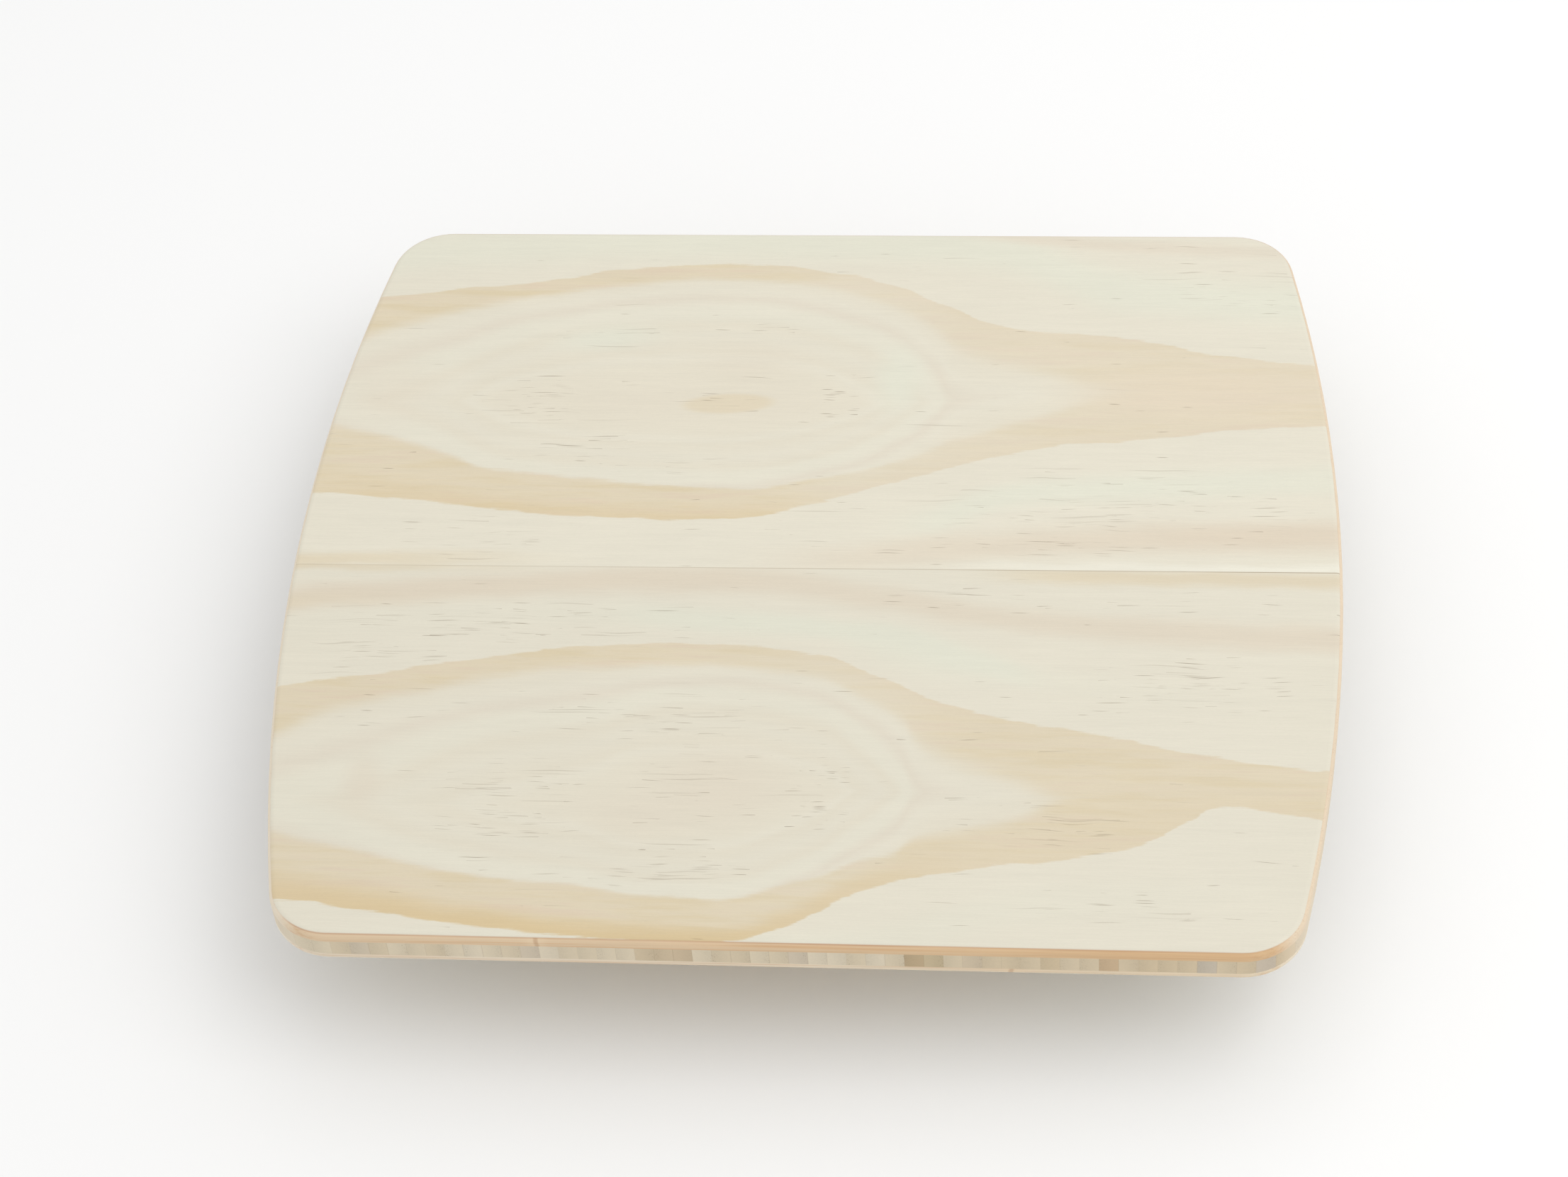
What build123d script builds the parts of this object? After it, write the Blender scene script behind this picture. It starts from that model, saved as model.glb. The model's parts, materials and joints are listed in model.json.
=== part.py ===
"""A rocker balance board: a barrel-shaped deck of bamboo ply faced with pine veneer, carried on two
curved rockers. Each rocker swivels about its own pivot bolt under the deck, and the angle it is
turned to sets how hard the board is to balance on.

Frame: millimetres, +Z up, +X along the deck's width, -Y towards the front edge. The origin is on
the floor under the middle of the deck, with both rockers straight.
"""

import os
from math import cos, degrees, radians, sin, sqrt

from build123d import *

# Deck outline
deck_width = 508.0  # across the middle, where the bulged sides are widest
deck_depth = 457.2
side_bulge = 25.4
corner_radius = 30.0
edge_round = 3.5

# Deck build-up
veneer = 0.6
face_ply = 4.4
core = 9.0
deck_thickness = 2 * veneer + 2 * face_ply + core
leaf_seam_y = -5.8  # the glued joint between the two leaves of face veneer
leaf_seam_tilt = 0.3  # degrees
stave_count = 59

# Rockers
rocker_length = 250.0
half_rocker = rocker_length / 2
lamination = 19.0  # each rocker is two of these, glued face to face
rocker_thickness = 2 * lamination
rolling_radius = 300.0  # of the tread's outer face
tread = 3.0
tread_width = 34.0
tread_end = 120.0  # the tread stops this far from the rocker's middle
groove_pitch = 10.0
groove_width = 2.5
groove_depth = 1.2
grooves = 22
rocker_top = 60.0
rocker_corner = 8.0
rocker_edge = 2.0
glide = 1.5  # the glide pads and thrust washer hold the deck this far off the rocker
pivot_y = 120.0
swivel_limit = 45.0

# Pivot hardware
bolt_diameter = 8.0
bolt_length = 55.0
bolt_head_diameter = 13.0
bolt_head_height = 8.0
bolt_chamfer = 0.8
hex_key = 6.0
hex_depth = 4.0
access_diameter = 18.0
access_floor = 24.0
bush_outer = 11.0
bush_flange_diameter = 17.0
bush_flange = 1.5
running_clearance = 0.05
washer_diameter = 16.0
washer = 1.6
washer_clearance = 0.2
disc_spring_height = 1.2
disc_spring_sheet = 0.7
insert_outer = 12.0
insert_flange_diameter = 20.0
insert_flange = 1.5
insert_length = 13.0
thrust_washer_diameter = 40.0
pad_diameter = 25.0
pad_offset = 100.0
pad_edge = 0.5

# Swivel stops
peg_diameter = 6.0
peg_drop = 8.0
peg_grip = 12.0
peg_chamfer = 0.6
peg_clearance = 0.3

# Edge bumpers
bumper_y = 110.0
bumper_diameter = 22.0
bumper_foot = 18.0
bumper_height = 10.0
bumper_edge = 1.5
bumper_recess = 10.0
bumper_recess_depth = 5.0
screw_diameter = 4.0
screw_length = 16.0
screw_point = 3.0
screw_point_radius = 0.4
screw_head = 8.0
screw_head_height = 2.6
screw_head_round = 0.8
screw_washer = 1.0
cross_length = 4.8
cross_slot = 1.0
cross_depth = 1.4

# Angle scale engraved in the underside
scale_step = 15.0
scale_steps = round(swivel_limit / scale_step)  # to each side of straight
scale_radius = 131.0
tick_length = 7.0
tick_width = 1.2
dot_diameter = 2.0
dot_pitch = 3.4
engraving = 0.3

# Heights that follow from those
deck_bottom = rocker_top + glide
lower_ply_bottom = deck_bottom + veneer
core_bottom = lower_ply_bottom + face_ply
core_top = core_bottom + core
face_veneer_bottom = core_top + face_ply
deck_top = deck_bottom + deck_thickness
stave_pitch = deck_width / stave_count
wood_radius = rolling_radius - tread
bolt_head_top = access_floor - bush_flange - washer - 2 * disc_spring_height
bumper_bottom = deck_bottom - bumper_height
recess_floor = bumper_bottom + bumper_recess_depth
head_seat = recess_floor - screw_washer
screw_tip = head_seat + screw_length
bush_bore = bolt_diameter + 2 * running_clearance

# The bumpers and pegs sit in the middle of a stave, clear of the glue lines
bumper_x = 26 * stave_pitch
peg_x = 3 * stave_pitch
peg_reach = rocker_thickness / 2 + peg_diameter / 2 + peg_clearance
limit = radians(swivel_limit)
peg_y = pivot_y - (peg_reach + peg_x * sin(limit)) / cos(limit)

upwards = (Align.CENTER, Align.CENTER, Align.MIN)
downwards = (Align.CENTER, Align.CENTER, Align.MAX)

insert_places = [(0, y) for y in (-pivot_y, pivot_y)]
peg_places = [(x, y) for x in (-peg_x, peg_x) for y in (-peg_y, peg_y)]
bumper_places = [(x, y) for x in (-bumper_x, bumper_x) for y in (-bumper_y, bumper_y)]

os.makedirs("parts", exist_ok=True)


def save(part, name):
    """Labels a finished piece and writes it as a node."""
    part.label = name
    export_step(part, f"parts/{name}.step")


def bore(places, diameter, low, high):
    """Cuts round holes between two heights from the part being built."""
    with Locations(*[(x, y, low) for x, y in places]):
        Cylinder(diameter / 2, high - low, align=upwards, mode=Mode.SUBTRACT)


def keep_between(low, high):
    """Trims the part being built to the layer between two heights."""
    split(bisect_by=Plane.XY.offset(low), keep=Keep.TOP)
    split(bisect_by=Plane.XY.offset(high), keep=Keep.BOTTOM)


# ---------------------------------------------------------------- deck
with BuildPart() as deck_blank:
    with BuildSketch(Plane.XY.offset(deck_bottom)) as deck_outline:
        chord, half_depth = deck_width / 2 - side_bulge, deck_depth / 2
        with BuildLine():
            Line((-chord, -half_depth), (chord, -half_depth))
            ThreePointArc((chord, -half_depth), (deck_width / 2, 0), (chord, half_depth))
            Line((chord, half_depth), (-chord, half_depth))
            ThreePointArc((-chord, half_depth), (-deck_width / 2, 0), (-chord, -half_depth))
        make_face()
        fillet(deck_outline.vertices(), corner_radius)
    extrude(amount=deck_thickness)
    rims = deck_blank.faces().sort_by(Axis.Z)
    fillet(rims[0].edges() + rims[-1].edges(), edge_round)

tilt = radians(leaf_seam_tilt)
leaf_seam = Plane(origin=(0, leaf_seam_y, 0), z_dir=(-sin(tilt), cos(tilt), 0))
for leaf, kept in (("front", Keep.BOTTOM), ("rear", Keep.TOP)):
    with BuildPart() as face_leaf:
        add(deck_blank.part)
        keep_between(face_veneer_bottom, deck_top)
        split(bisect_by=leaf_seam, keep=kept)
    save(face_leaf.part, f"face_veneer_{leaf}_leaf")

with BuildPart() as upper_ply:
    add(deck_blank.part)
    keep_between(core_top, face_veneer_bottom)
save(upper_ply.part, "upper_bamboo_ply")

with BuildPart() as stave_core:
    add(deck_blank.part)
    keep_between(core_bottom, core_top)
    bore(insert_places, insert_outer, core_bottom, deck_bottom + insert_length)
    bore(peg_places, peg_diameter, core_bottom, deck_bottom + peg_grip)
    bore(bumper_places, screw_diameter, core_bottom, screw_tip)
save(stave_core.part, "stave_core")

with BuildPart() as lower_ply:
    add(deck_blank.part)
    keep_between(lower_ply_bottom, core_bottom)
    bore(insert_places, insert_outer, lower_ply_bottom, core_bottom)
    bore(insert_places, insert_flange_diameter, lower_ply_bottom, deck_bottom + insert_flange)
    bore(peg_places, peg_diameter, lower_ply_bottom, core_bottom)
    bore(bumper_places, screw_diameter, lower_ply_bottom, core_bottom)
save(lower_ply.part, "lower_bamboo_ply")

with BuildPart() as back_veneer:
    add(deck_blank.part)
    keep_between(deck_bottom, lower_ply_bottom)
    bore(insert_places, insert_flange_diameter, deck_bottom, lower_ply_bottom)
    bore(peg_places, peg_diameter, deck_bottom, lower_ply_bottom)
    bore(bumper_places, screw_diameter, deck_bottom, lower_ply_bottom)
    # A tick for every step of swivel at both ends of a rocker, with one dot for each level of difficulty
    with BuildSketch(Plane.XY.offset(deck_bottom)):
        for pivot in (-pivot_y, pivot_y):
            for end in (0, 180):
                for step in range(-scale_steps, scale_steps + 1):
                    with Locations(Location((0, pivot, 0), (0, 0, end + step * scale_step))):
                        with Locations((scale_radius, 0)):
                            Rectangle(tick_length, tick_width)
                        for dot in range(abs(step)):
                            with Locations((scale_radius + tick_length / 2 + dot_pitch * (dot + 1), 0)):
                                Circle(dot_diameter / 2)
    extrude(amount=engraving, mode=Mode.SUBTRACT)
save(back_veneer.part, "back_veneer")

# ---------------------------------------------------------------- stop pegs
for side, x in (("left", -peg_x), ("right", peg_x)):
    for place, y in (("front", -peg_y), ("rear", peg_y)):
        with BuildPart() as stop_peg:
            with Locations((x, y, deck_bottom - peg_drop)):
                Cylinder(peg_diameter / 2, peg_drop + peg_grip, align=upwards)
            chamfer(stop_peg.edges().filter_by(GeomType.CIRCLE), peg_chamfer)
        save(stop_peg.part, f"stop_peg_{place}_{side}")

# ---------------------------------------------------------------- edge bumpers
for side, x in (("left", -bumper_x), ("right", bumper_x)):
    for place, y in (("front", -bumper_y), ("rear", bumper_y)):
        with BuildPart() as bumper:
            with BuildSketch(Plane.XY.offset(bumper_bottom)):
                with Locations((x, y)):
                    Circle(bumper_foot / 2)
            with BuildSketch(Plane.XY.offset(deck_bottom)):
                with Locations((x, y)):
                    Circle(bumper_diameter / 2)
            loft()
            foot_rim = bumper.faces().sort_by(Axis.Z)[0].edges()
            fillet(foot_rim, bumper_edge)
            bore([(x, y)], bumper_recess, bumper_bottom, recess_floor)
            bore([(x, y)], screw_diameter, recess_floor, deck_bottom)
        save(bumper.part, f"edge_bumper_{place}_{side}")

with BuildPart() as bumper_washers:
    with BuildSketch(Plane.XY.offset(head_seat)):
        with Locations(*bumper_places):
            Circle(bumper_recess / 2)
            Circle(screw_diameter / 2, mode=Mode.SUBTRACT)
    extrude(amount=screw_washer)
save(bumper_washers.part, "bumper_washers")

with BuildPart() as bumper_screws:
    with Locations(*[(x, y, head_seat) for x, y in bumper_places]):
        Cylinder(screw_head / 2, screw_head_height, align=downwards)
    fillet(bumper_screws.faces().group_by(Axis.Z)[0].edges(), screw_head_round)
    with Locations(*[(x, y, head_seat) for x, y in bumper_places]):
        Cylinder(screw_diameter / 2, screw_length - screw_point, align=upwards)
    with Locations(*[(x, y, screw_tip) for x, y in bumper_places]):
        Cone(screw_diameter / 2, screw_point_radius, screw_point, align=downwards)
    with Locations(*[(x, y, head_seat - screw_head_height) for x, y in bumper_places]):
        Box(cross_length, cross_slot, cross_depth, align=upwards, mode=Mode.SUBTRACT)
        Box(cross_slot, cross_length, cross_depth, align=upwards, mode=Mode.SUBTRACT)
save(bumper_screws.part, "bumper_screws")


# ---------------------------------------------------------------- pivot hardware, fixed to the deck
def ring(y, inner, outer, low, high):
    """A plain washer or sleeve about a pivot, between two heights."""
    with BuildPart() as made:
        with BuildSketch(Plane.XY.offset(low)):
            with Locations((0, y)):
                Circle(outer / 2)
                Circle(inner / 2, mode=Mode.SUBTRACT)
        extrude(amount=high - low)
    return made.part


for place, y in (("front", -pivot_y), ("rear", pivot_y)):
    with BuildPart() as pivot_insert:
        with Locations((0, y, deck_bottom)):
            Cylinder(insert_flange_diameter / 2, insert_flange, align=upwards)
            Cylinder(insert_outer / 2, insert_length, align=upwards)
        bore([(0, y)], bolt_diameter, deck_bottom, deck_bottom + insert_length)
    save(pivot_insert.part, f"pivot_insert_{place}")

    with BuildPart() as pivot_bolt:
        with Locations((0, y, bolt_head_top)):
            Cylinder(bolt_head_diameter / 2, bolt_head_height, align=downwards)
            Cylinder(bolt_diameter / 2, bolt_length, align=upwards)
        ends = pivot_bolt.faces().filter_by(Plane.XY).sort_by(Axis.Z)
        chamfer(ends[0].edges() + ends[-1].edges(), bolt_chamfer)
        with BuildSketch(Plane.XY.offset(bolt_head_top - bolt_head_height)):
            with Locations((0, y)):
                RegularPolygon(hex_key / 2, 6, major_radius=False)
        extrude(amount=hex_depth, mode=Mode.SUBTRACT)
    save(pivot_bolt.part, f"pivot_bolt_{place}")

    washer_top = access_floor - bush_flange
    washer_hole = bolt_diameter + 2 * washer_clearance
    flat_washer = ring(y, washer_hole, washer_diameter, washer_top - washer, washer_top)
    save(flat_washer, f"pivot_washer_{place}")

    with BuildPart() as disc_springs:
        spring_middle = washer_top - washer - disc_spring_height
        inner, outer = washer_hole / 2, washer_diameter / 2
        rise = disc_spring_height - disc_spring_sheet
        with BuildSketch(Plane.XZ.offset(-y)):
            for way in (1, -1):
                with BuildLine():
                    Polyline(
                        (outer, spring_middle),
                        (inner, spring_middle + way * rise),
                        (inner, spring_middle + way * disc_spring_height),
                        (outer, spring_middle + way * disc_spring_sheet),
                        close=True,
                    )
                make_face()
        revolve(axis=Axis((0, y, 0), (0, 0, 1)))
    save(disc_springs.part, f"disc_springs_{place}")


# ---------------------------------------------------------------- rockers
def curve_height(radius, x):
    """The height, at a distance x from the middle, of a curve about the rocker's rolling centre."""
    return rolling_radius - sqrt(radius**2 - x**2)


for place, pivot, inward in (("front", -pivot_y, 1), ("rear", pivot_y, -1)):
    with BuildPart() as rocker_blank:
        with BuildSketch(Plane.XZ.offset(-pivot)):
            with BuildLine():
                end_height = curve_height(wood_radius, half_rocker)
                Polyline(
                    (-half_rocker, end_height),
                    (-half_rocker, rocker_top),
                    (half_rocker, rocker_top),
                    (half_rocker, end_height),
                )
                ThreePointArc((half_rocker, end_height), (0, tread), (-half_rocker, end_height))
            make_face()
        extrude(amount=lamination, both=True)
        fillet(rocker_blank.edges().filter_by(Axis.Z), rocker_corner)
        sides = rocker_blank.faces().filter_by(Plane.XZ)
        fillet(sides.edges(), rocker_edge)
        bore([(0, pivot)], access_diameter, 0, access_floor)
        bore([(0, pivot)], bush_outer, access_floor, rocker_top)

    for half, keep_rear in (("inner", inward > 0), ("outer", inward < 0)):
        with BuildPart() as rocker_half:
            add(rocker_blank.part)
            split(bisect_by=Plane.ZX.offset(pivot), keep=Keep.TOP if keep_rear else Keep.BOTTOM)
        save(rocker_half.part, f"rocker_{place}_{half}_half")

    with BuildPart() as rocker_tread:
        with BuildSketch(Plane.XZ.offset(-pivot)):
            with BuildLine():
                outside = curve_height(rolling_radius, tread_end)
                inside = curve_height(wood_radius, tread_end)
                ThreePointArc((-tread_end, outside), (0, 0), (tread_end, outside))
                Line((tread_end, outside), (tread_end, inside))
                ThreePointArc((tread_end, inside), (0, tread), (-tread_end, inside))
                Line((-tread_end, inside), (-tread_end, outside))
            make_face()
            with Locations((0, rolling_radius)):
                spread = degrees(groove_pitch * (grooves - 1) / rolling_radius)
                with PolarLocations(rolling_radius, grooves, -90 - spread / 2, spread, endpoint=True):
                    Rectangle(2 * groove_depth, groove_width, mode=Mode.SUBTRACT)
        extrude(amount=tread_width / 2, both=True)
        bore([(0, pivot)], access_diameter, 0, access_floor)
    save(rocker_tread.part, f"rocker_tread_{place}")

    with BuildPart() as pivot_bushing:
        with Locations((0, pivot, access_floor)):
            Cylinder(bush_flange_diameter / 2, bush_flange, align=downwards)
            Cylinder(bush_outer / 2, rocker_top - access_floor, align=upwards)
        bore([(0, pivot)], bush_bore, 0, rocker_top)
    save(pivot_bushing.part, f"pivot_bushing_{place}")

    thrust_washer = ring(pivot, bush_bore, thrust_washer_diameter, rocker_top, deck_bottom)
    save(thrust_washer, f"thrust_washer_{place}")

    for side, x in (("left", -pad_offset), ("right", pad_offset)):
        with BuildPart() as glide_pad:
            with Locations((x, pivot, rocker_top)):
                Cylinder(pad_diameter / 2, glide, align=upwards)
            fillet(glide_pad.faces().sort_by(Axis.Z)[-1].edges(), pad_edge)
        save(glide_pad.part, f"glide_pad_{place}_{side}")
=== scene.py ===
"""How the balance board looks: its wood, rubber, plastic and metal, and the studio round it."""

import json
import math

import bpy
from mathutils import Matrix, Vector


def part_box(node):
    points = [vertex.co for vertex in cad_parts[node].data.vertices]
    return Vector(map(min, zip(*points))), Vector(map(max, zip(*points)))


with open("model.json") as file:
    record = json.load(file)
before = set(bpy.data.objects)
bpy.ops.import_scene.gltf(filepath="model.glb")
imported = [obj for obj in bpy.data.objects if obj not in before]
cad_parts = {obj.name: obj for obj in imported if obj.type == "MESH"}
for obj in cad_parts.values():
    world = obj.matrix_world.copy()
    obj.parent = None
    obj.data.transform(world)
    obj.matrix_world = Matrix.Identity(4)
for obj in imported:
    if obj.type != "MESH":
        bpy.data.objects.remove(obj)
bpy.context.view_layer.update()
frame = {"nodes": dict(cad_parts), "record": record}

MM = 1000.0  # millimetres in a metre

# The camera looks at this place on the deck's top, in metres, from this far and this way round.
LOOK_AT = (-0.0122, -0.0188)
CAMERA_DISTANCE = 1.802
CAMERA_AZIMUTH = 8.18
CAMERA_ELEVATION = 48.57
CAMERA_ROLL = -5.40
CAMERA_LENS = 86.2
SENSOR = 36.0

# Sizes and places on the part, in millimetres
DECK_WIDTH = 508.0
STAVE_PITCH = DECK_WIDTH / 59
SEAM_Y = -5.8  # of the seam between the two leaves of face veneer, where it crosses the middle
SEAM_SLOPE = math.tan(math.radians(0.3))
FLAT_HALF_DEPTH = 224.3  # how far to the front and rear the underside is flat, short of its rounded rim
ROLLING_RADIUS = 300.0  # of the treads, and so the height of their centre above the floor
PLY_STRIP = 24.0
PLY_CULM = 340.0  # between the joints of the bamboo stem along a strip of the plies
CULM_SHIFT = 56.0  # how far those joints are moved along the strip
ROCKER_STRIP = 20.0
ROCKER_LAYER = 6.333  # a third of the thickness of one half
ROCKER_CULM = 265.0  # between the joints of the stem along a strip of the rockers

# Stretches along X over which the deck's looks change from its left to its right
SEAM_OPENS = (-120, 160)
PLY_BROWNS = (-160, 240)
SIDE_DARKENS = (-200, 200)

WOOD_SPECULAR = 0.3


def srgb(red, green, blue):
    """A linear colour from 0 to 255 screen values."""
    linear = [((c / 255 + 0.055) / 1.055) ** 2.4 if c > 10 else c / 255 / 12.92 for c in (red, green, blue)]
    return (*linear, 1.0)


# ---------------------------------------------------------------- camera, floor and light
def aim_camera():
    """Puts the camera in place and makes it the scene's own."""
    camera = bpy.data.objects.new("camera", bpy.data.cameras.new("camera"))
    bpy.context.collection.objects.link(camera)
    camera.data.sensor_width = SENSOR
    camera.data.lens = CAMERA_LENS
    azimuth, elevation, roll = (math.radians(a) for a in (CAMERA_AZIMUTH, CAMERA_ELEVATION, CAMERA_ROLL))
    back = Vector((
        math.sin(azimuth) * math.cos(elevation),
        -math.cos(azimuth) * math.cos(elevation),
        math.sin(elevation),
    ))
    right = Vector((math.cos(azimuth), math.sin(azimuth), 0))
    up = back.cross(right)
    tilted_right = math.cos(roll) * right + math.sin(roll) * up
    tilted_up = math.cos(roll) * up - math.sin(roll) * right
    turn = Matrix((tilted_right, tilted_up, back)).transposed()
    target = Vector((*LOOK_AT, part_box("face_veneer_front_leaf")[1].z))
    camera.matrix_world = Matrix.Translation(target + CAMERA_DISTANCE * back) @ turn.to_4x4()
    bpy.context.scene.camera = camera


def area_light(name, place, aim, size, power):
    """A square white soft box at one place, pointing at another."""
    light = bpy.data.objects.new(name, bpy.data.lights.new(name, "AREA"))
    bpy.context.collection.objects.link(light)
    light.data.size = size
    light.data.energy = power
    light.location = place
    light.rotation_mode = "QUATERNION"
    light.rotation_quaternion = (Vector(aim) - Vector(place)).to_track_quat("-Z", "Y")


def build_studio():
    """A white floor, a bright white surround and two large soft boxes."""
    floor_mesh = bpy.data.meshes.new("floor")
    reach = 6.0
    corners = [(-reach, -reach, 0), (reach, -reach, 0), (reach, reach, 0), (-reach, reach, 0)]
    floor_mesh.from_pydata(corners, [], [(0, 1, 2, 3)])
    floor = bpy.data.objects.new("floor", floor_mesh)
    bpy.context.collection.objects.link(floor)
    paint = bpy.data.materials.new("floor_paint")
    paint.use_nodes = True
    surface = paint.node_tree.nodes["Principled BSDF"]
    surface.inputs["Base Color"].default_value = (0.93, 0.93, 0.925, 1)
    surface.inputs["Roughness"].default_value = 0.9
    surface.inputs["Specular IOR Level"].default_value = 0.1
    floor_mesh.materials.append(paint)

    world = bpy.data.worlds.new("surround")
    world.use_nodes = True
    bpy.context.scene.world = world
    world.node_tree.nodes["Background"].inputs["Color"].default_value = (1.0, 1.0, 1.0, 1)
    world.node_tree.nodes["Background"].inputs["Strength"].default_value = 0.82

    area_light("key", (1.3, -0.5, 2.0), (0.05, 0, 0), 1.8, 14)
    area_light("overhead", (0.3, 0.9, 2.4), (0, 0, 0), 2.4, 8)
    bpy.context.scene.view_settings.view_transform = "Standard"


# ---------------------------------------------------------------- a short hand for shader nodes
class Nodes:
    """Builds one material. Each method adds a node and gives back its output; places are in millimetres."""

    def __init__(self, name):
        self.material = bpy.data.materials.new(name)
        self.material.use_nodes = True
        self.tree = self.material.node_tree
        self.shader = self.tree.nodes["Principled BSDF"]
        coordinates = self.tree.nodes.new("ShaderNodeTexCoord")
        self.place = self.scale(coordinates.outputs["Object"], (MM, MM, MM))
        parts = self.add("SeparateXYZ", {"Vector": self.place})
        self.x, self.y, self.z = parts.outputs
        normal = self.add("SeparateXYZ", {"Vector": coordinates.outputs["Normal"]})
        self.normal_x, self.normal_y = normal.outputs[0], normal.outputs[1]

    def facing_side(self):
        """1 on an edge that runs along the board's left or right, rounding included, and 0 elsewhere."""
        above_zero = 0.0004  # keeps the division from failing where a face looks straight up
        aside = self.times(self.normal_x, self.normal_x)
        level = self.math("SQRT", self.sum(aside, self.times(self.normal_y, self.normal_y), above_zero))
        return self.step(self.math("DIVIDE", self.math("ABSOLUTE", self.normal_x), level), 0.4, 0.85)

    def add(self, kind, inputs=None, **settings):
        """A node with its settings and its input values or links."""
        node = self.tree.nodes.new("ShaderNode" + kind)
        for key, value in settings.items():
            setattr(node, key, value)
        for key, value in (inputs or {}).items():
            self.feed(node.inputs[key], value)
        return node

    def feed(self, socket, value):
        """Links a socket, or sets its value."""
        if isinstance(value, bpy.types.NodeSocket):
            self.tree.links.new(value, socket)
        else:
            socket.default_value = value

    def scale(self, vector, factors):
        return self.add("VectorMath", {0: vector, 1: factors}, operation="MULTIPLY").outputs[0]

    def vector(self, x, y, z):
        return self.add("CombineXYZ", {0: x, 1: y, 2: z}).outputs[0]

    def math(self, operation, *values):
        return self.add("Math", dict(enumerate(values)), operation=operation).outputs[0]

    def sum(self, *values):
        total = values[0]
        for value in values[1:]:
            total = self.math("ADD", total, value)
        return total

    def times(self, *values):
        product = values[0]
        for value in values[1:]:
            product = self.math("MULTIPLY", product, value)
        return product

    def less(self, a, b):
        return self.math("SUBTRACT", a, b)

    def invert(self, value):
        return self.math("SUBTRACT", 1.0, value)

    def step(self, value, low, high):
        """Rises smoothly from 0 where the value is low to 1 where it is high."""
        inputs = {"Value": value, "From Min": low, "From Max": high}
        return self.add("MapRange", inputs, interpolation_type="SMOOTHSTEP").outputs[0]

    def spread(self, value, low, high):
        """Maps 0 to 1 onto low to high."""
        return self.add("MapRange", {"Value": value, "To Min": low, "To Max": high}).outputs[0]

    def noise(self, frequencies, detail=2.0, roughness=0.5, seed=0.0):
        """Noise with so many waves a millimetre along each axis."""
        place = self.scale(self.place, frequencies)
        shifted = self.add("VectorMath", {0: place, 1: (seed, 1.7 * seed, 2.3 * seed)}, operation="ADD")
        inputs = {"Vector": shifted.outputs[0], "Scale": 1.0, "Detail": detail, "Roughness": roughness}
        return self.add("TexNoise", inputs).outputs[0]

    def random(self, value, seed=0.0):
        """A number from 0 to 1 that is the same wherever the value is."""
        return self.add("TexWhiteNoise", {"W": self.sum(value, seed)}, noise_dimensions="1D").outputs[0]

    def curve(self, value, points):
        """A smooth curve through given points, each a place and the height there."""
        places = [p for p, _ in points]
        heights = [h for _, h in points]
        start, end, low, high = places[0], places[-1], min(heights), max(heights)
        along = self.add("MapRange", {"Value": value, "From Min": start, "From Max": end}).outputs[0]
        node = self.add("FloatCurve", {"Value": along})
        line = node.mapping.curves[0]
        scaled = [((p - start) / (end - start), (h - low) / (high - low)) for p, h in points]
        line.points[0].location = scaled[0]
        line.points[-1].location = scaled[-1]
        for place in scaled[1:-1]:
            line.points.new(*place)
        node.mapping.update()
        return self.spread(node.outputs[0], low, high)

    def ramp(self, value, stops, interpolation="LINEAR"):
        """A colour for each value, from a list of values and screen colours."""
        node = self.add("ValToRGB", {"Fac": value})
        node.color_ramp.interpolation = interpolation
        elements = node.color_ramp.elements
        for _ in stops[2:]:
            elements.new(0.5)
        for element, (place, colour) in zip(elements, stops):
            element.position = place
            element.color = srgb(*colour)
        return node.outputs[0]

    def mix(self, factor, a, b, blend="MIX"):
        """Blends two colours."""
        node = self.add("Mix", data_type="RGBA", blend_type=blend)
        self.feed(node.inputs[0], factor)
        self.feed(node.inputs[6], a)
        self.feed(node.inputs[7], b)
        return node.outputs[2]

    def tint(self, colour, factor):
        """Makes a colour lighter or darker by a factor that may vary."""
        grey = self.add("CombineColor", {0: factor, 1: factor, 2: factor}).outputs[0]
        return self.mix(1.0, colour, grey, "MULTIPLY")

    def cells(self, frequencies, seed, raised=0.0):
        """Scattered points, raised along Y: how far off the nearest is, and a random number for it."""
        bent = self.add("VectorMath", {0: self.place, 1: self.vector(0.0, raised, 0.0)}, operation="ADD")
        place = self.scale(bent.outputs[0], frequencies)
        shifted = self.add("VectorMath", {0: place, 1: (seed, seed, seed)}, operation="ADD")
        node = self.add("TexVoronoi", {"Vector": shifted.outputs[0], "Scale": 1.0})
        random = self.add("SeparateColor", {"Color": node.outputs["Color"]}).outputs[0]
        return node.outputs["Distance"], random

    def bump(self, height, strength, depth):
        """Raises the surface by a height of up to so many millimetres."""
        inputs = {"Height": height, "Strength": strength, "Distance": depth / MM}
        return self.add("Bump", inputs).outputs[0]

    def finish(self, colour, roughness, normal, specular=0.5):
        """Feeds the shader and gives back the finished material."""
        inputs = self.shader.inputs
        self.feed(inputs["Base Color"], colour)
        self.feed(inputs["Roughness"], roughness)
        self.feed(inputs["Normal"], normal)
        self.feed(inputs["Specular IOR Level"], specular)
        return self.material


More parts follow.
